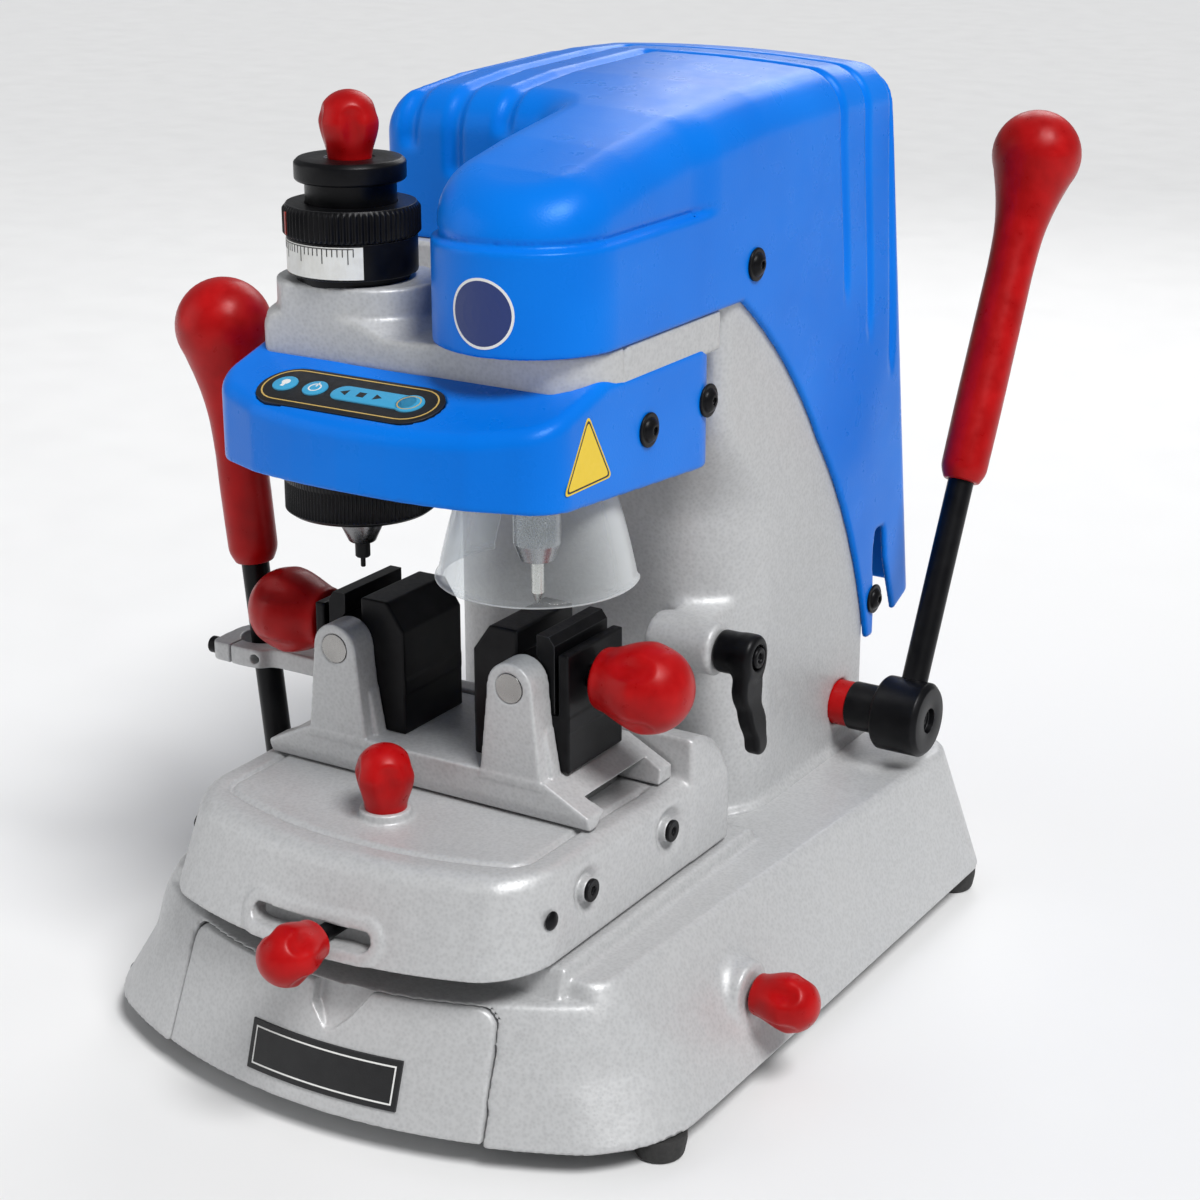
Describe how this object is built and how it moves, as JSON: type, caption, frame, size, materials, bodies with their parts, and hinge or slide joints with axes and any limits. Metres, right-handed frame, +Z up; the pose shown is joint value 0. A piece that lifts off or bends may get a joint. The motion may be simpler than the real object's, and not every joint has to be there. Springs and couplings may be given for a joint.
{
  "type": "key duplicating machine",
  "caption": "Bench machine that copies dimple and laser keys: a tracer and a milling spindle side by side over a sliding pair of vises, worked by two levers.",
  "frame": {"origin": "on the bench, at the centre of the four rubber feet", "axes": "+X to the user's right, +Y to the back of the machine, +Z up"},
  "size_m": [0.3591, 0.5528, 0.4505],
  "materials": {
    "grey_casting": "cast aluminium alloy under hammertone semi-gloss enamel",
    "blue_cover": "azure moulded cover, fine leather grain, semi-gloss",
    "red_grip": "satin red moulding",
    "black_steel": "black oxide, satin",
    "black_plastic": "fine-grained moulding",
    "blue_key": "light blue membrane keys",
    "turned_steel": "turned or ground",
    "grey_steel": "ground, satin",
    "machined_aluminium": "machined",
    "motor_shell": "dark enamel",
    "label_white": "plain printed band",
    "foot_rubber": "moulded rubber",
    "clear_guard": "clear polycarbonate"
  },
  "bodies": {
    "base": {"base_casting": "grey_casting", "rubber_feet": "foot_rubber", "column_casting": "grey_casting", "y_guide_rails": "turned_steel", "column_guide_block": "machined_aluminium", "lever_bushes": "red_grip", "lever_socket": "black_steel", "power_inlet": "black_plastic"},
    "rocker": {"power_switch": "black_plastic"},
    "side_lock": {"side_lock_knob": "red_grip"},
    "drawer": {"drawer_front": "grey_casting", "drawer_tray": "black_plastic", "nameplate": "black_plastic"},
    "carriage": {"carriage_skirt": "grey_casting", "y_bearing_blocks": "turned_steel", "x_dovetail_rail": "turned_steel", "skirt_screws": "black_steel"},
    "x_lock": {"x_lock_knob": "red_grip"},
    "slide_stop": {"slot_knob": "red_grip"},
    "vise_slide": {"vise_slide_casting": "grey_casting", "cross_pins": "turned_steel", "vise_blocks": "black_steel", "lever_ring": "grey_casting"},
    "left_jaw": {"left_outer_jaw": "black_steel"},
    "right_jaw": {"right_outer_jaw": "black_steel"},
    "left_clamp": {"left_clamp_knob": "red_grip"},
    "right_clamp": {"right_clamp_knob": "red_grip"},
    "gimbal": {"lever_gimbal": "turned_steel"},
    "joystick": {"left_lever_rod": "black_steel", "left_lever_grip": "red_grip"},
    "head": {"head_casting": "grey_casting", "lower_cover": "blue_cover", "upper_hood": "blue_cover", "control_panel": "black_plastic", "cover_screws": "black_steel", "spindle_bearings": "turned_steel", "spindle_motor": "motor_shell", "drive_belt": "foot_rubber", "micrometer_sleeve": "label_white", "head_guide_rods": "turned_steel", "head_rack": "turned_steel"},
    "light_key": {"light_button": "blue_key"},
    "start_key": {"start_button": "blue_key"},
    "selector": {"selector_key": "blue_key"},
    "spindle": {"spindle_shaft": "turned_steel", "cutter": "turned_steel", "spindle_pulley": "machined_aluminium"},
    "motor_rotor": {"motor_pulley": "machined_aluminium"},
    "tracer": {"tracer_quill": "grey_steel", "tracer_stylus": "turned_steel"},
    "dial": {"graduated_ring": "black_steel"},
    "micrometer": {"micrometer_ring": "black_steel"},
    "tracer_lock": {"tracer_cap": "black_steel", "tracer_knob": "red_grip"},
    "shield": {"cutter_shield": "clear_guard"},
    "height_lever": {"pinion_shaft": "turned_steel", "lever_hub": "black_steel", "right_lever_rod": "black_steel", "right_lever_grip": "red_grip"},
    "height_lock": {"height_lock_lever": "black_steel"}
  },
  "joints": [
    {"name": "head_slide", "type": "slide", "parent": "base", "child": "head", "axis": [0, 0, 1], "range_m": [-0.0165, 0]},
    {"name": "lever_swing", "type": "hinge", "parent": "base", "child": "height_lever", "pos_m": [0.1296, 0.1306, 0.107], "axis": [1, 0, 0], "range_deg": [-0.5, 54.5]},
    {"name": "carriage_slide", "type": "slide", "parent": "base", "child": "carriage", "axis": [0, 1, 0], "range_m": [-0.04, 0.014]},
    {"name": "vise_slide_x", "type": "slide", "parent": "carriage", "child": "vise_slide", "axis": [1, 0, 0], "range_m": [-0.018, 0.01]},
    {"name": "joystick_roll", "type": "hinge", "parent": "base", "child": "gimbal", "pos_m": [-0.123, -0.079, 0.066], "axis": [0, 1, 0], "range_deg": [-10.5, 5.9]},
    {"name": "joystick_pitch", "type": "hinge", "parent": "gimbal", "child": "joystick", "pos_m": [-0.123, -0.079, 0.066], "axis": [1, 0, 0], "range_deg": [-7.9, 22.2]},
    {"name": "right_clamp_turn", "type": "hinge", "parent": "right_jaw", "child": "right_clamp", "pos_m": [0.078, -0.095, 0.1925], "axis": [1, 0, 0], "range_deg": [-400, 76]},
    {"name": "right_jaw_slide", "type": "slide", "parent": "vise_slide", "child": "right_jaw", "axis": [1, 0, 0], "range_m": [-0.0055, 0.001]},
    {"name": "left_clamp_turn", "type": "hinge", "parent": "left_jaw", "child": "left_clamp", "pos_m": [-0.078, -0.095, 0.1925], "axis": [1, 0, 0], "range_deg": [-76, 400]},
    {"name": "left_jaw_slide", "type": "slide", "parent": "vise_slide", "child": "left_jaw", "axis": [1, 0, 0], "range_m": [-0.001, 0.0055]},
    {"name": "spindle_spin", "type": "hinge", "parent": "head", "child": "spindle", "pos_m": [0.0495, -0.105, 0.34], "axis": [0, 0, 1], "continuous": true},
    {"name": "motor_spin", "type": "hinge", "parent": "head", "child": "motor_rotor", "pos_m": [0.045, 0.075, 0.34], "axis": [0, 0, 1], "continuous": true},
    {"name": "micrometer_turn", "type": "hinge", "parent": "head", "child": "micrometer", "pos_m": [-0.0495, -0.105, 0.394], "axis": [0, 0, 1], "range_deg": [-171, 171]},
    {"name": "tracer_slide", "type": "slide", "parent": "head", "child": "tracer", "axis": [0, 0, 1], "range_m": [-0.00047, 0.00047]},
    {"name": "tracer_lock_turn", "type": "hinge", "parent": "head", "child": "tracer_lock", "pos_m": [-0.0495, -0.105, 0.41], "axis": [0, 0, 1], "range_deg": [0, 90]},
    {"name": "dial_turn", "type": "hinge", "parent": "head", "child": "dial", "pos_m": [-0.0495, -0.105, 0.27], "axis": [0, 0, 1], "range_deg": [-60, 60]},
    {"name": "shield_turn", "type": "hinge", "parent": "head", "child": "shield", "pos_m": [0.0495, -0.105, 0.26], "axis": [0, 0, 1], "range_deg": [-60, 60]},
    {"name": "height_lock_turn", "type": "hinge", "parent": "base", "child": "height_lock", "pos_m": [0.1, -0.012, 0.183], "axis": [1, 0, 0], "range_deg": [-50, 30]},
    {"name": "side_lock_turn", "type": "hinge", "parent": "base", "child": "side_lock", "pos_m": [0.15, -0.079, 0.044], "axis": [1, 0, 0], "range_deg": [-90, 90]},
    {"name": "x_lock_turn", "type": "hinge", "parent": "carriage", "child": "x_lock", "pos_m": [0, -0.159, 0.14], "axis": [0, 0, 1], "range_deg": [-60, 60]},
    {"name": "slide_stop_shift", "type": "slide", "parent": "carriage", "child": "slide_stop", "axis": [1, 0, 0], "range_m": [-0.028, 0.012]},
    {"name": "drawer_pull", "type": "slide", "parent": "base", "child": "drawer", "axis": [0, -1, 0], "range_m": [0, 0.11]},
    {"name": "light_key_press", "type": "slide", "parent": "head", "child": "light_key", "axis": [0, 0.2793, -0.9602], "range_m": [0, 0.001]},
    {"name": "start_key_press", "type": "slide", "parent": "head", "child": "start_key", "axis": [0, 0.2793, -0.9602], "range_m": [0, 0.001]},
    {"name": "selector_key_press", "type": "slide", "parent": "head", "child": "selector", "axis": [0, 0.2793, -0.9602], "range_m": [0, 0.001]},
    {"name": "rocker_tilt", "type": "hinge", "parent": "base", "child": "rocker", "pos_m": [-0.038, 0.175, 0.045], "axis": [1, 0, 0], "range_deg": [-8, 8]}
  ],
  "couplings": [
    {"joint": "lever_swing", "follows": "head_slide", "rad_per_m": -57.143},
    {"joint": "joystick_pitch", "follows": "carriage_slide", "rad_per_m": -9.6},
    {"joint": "joystick_roll", "follows": "vise_slide_x", "rad_per_m": 10},
    {"joint": "right_clamp_turn", "follows": "right_jaw_slide", "rad_per_m": 1256.6},
    {"joint": "left_clamp_turn", "follows": "left_jaw_slide", "rad_per_m": 1256.6},
    {"joint": "motor_spin", "follows": "spindle_spin", "ratio": 1.5385},
    {"joint": "micrometer_turn", "follows": "tracer_slide", "rad_per_m": 6283.2}
  ]
}
